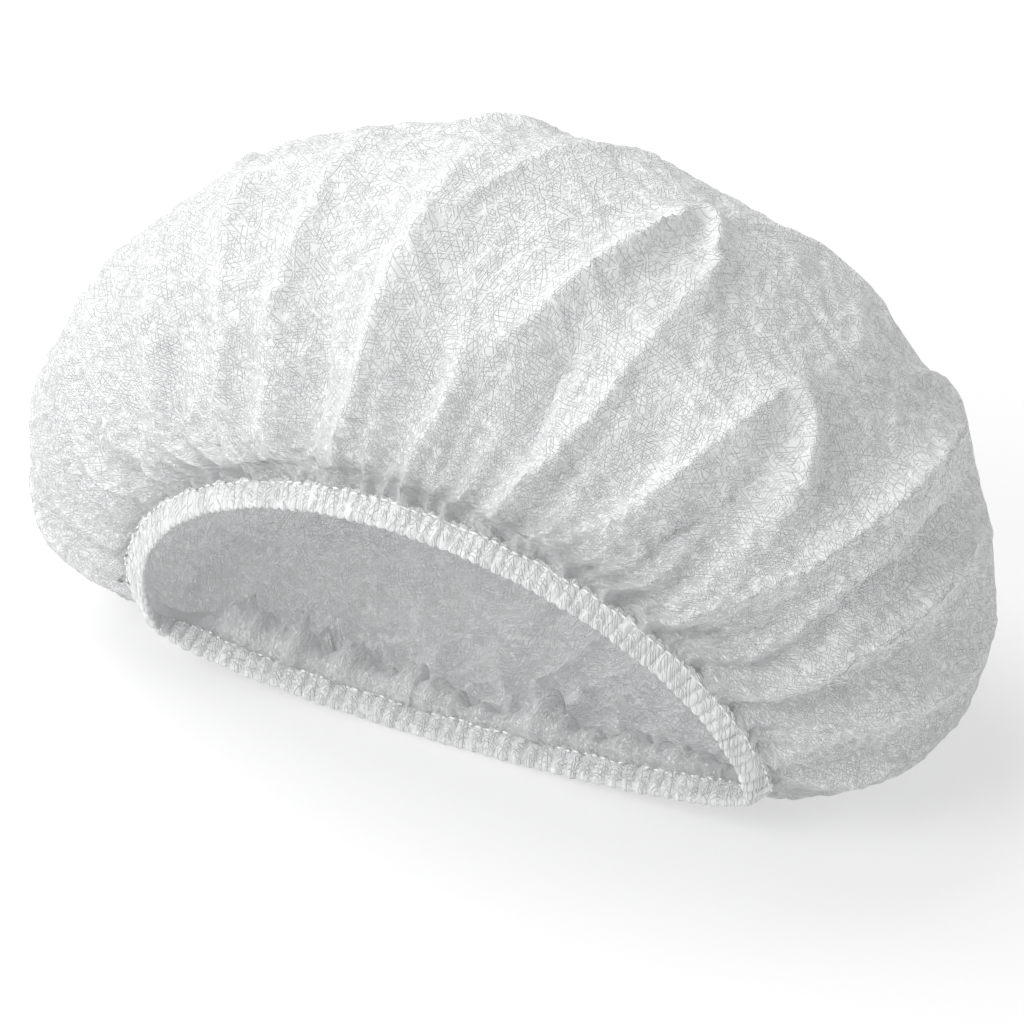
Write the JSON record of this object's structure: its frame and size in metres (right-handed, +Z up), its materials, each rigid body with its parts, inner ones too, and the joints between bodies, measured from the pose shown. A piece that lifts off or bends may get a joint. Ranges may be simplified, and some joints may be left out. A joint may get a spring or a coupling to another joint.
{
  "type": "disposable hair cover cap",
  "caption": "Puffed bouffant hair cover of thin white non-woven cloth with a gathered elastic band round an open mouth, lying on its side.",
  "frame": {"origin": "on the ground under the middle of the cap as it lies", "axes": "+X along the long side of the cap, to the right seen from the mouth; -Y out of the mouth; +Z up"},
  "size_m": [0.3042, 0.182, 0.1684],
  "materials": {
    "nonwoven_cloth": "thin white non-woven fibre sheet, slightly see-through, matt with a soft sheen",
    "gathered_band": "the same cloth folded over narrow elastic and gathered, opaque white and matt"
  },
  "bodies": {
    "root": {"crown": "nonwoven_cloth", "elastic_band": "gathered_band"}
  },
  "joints": []
}
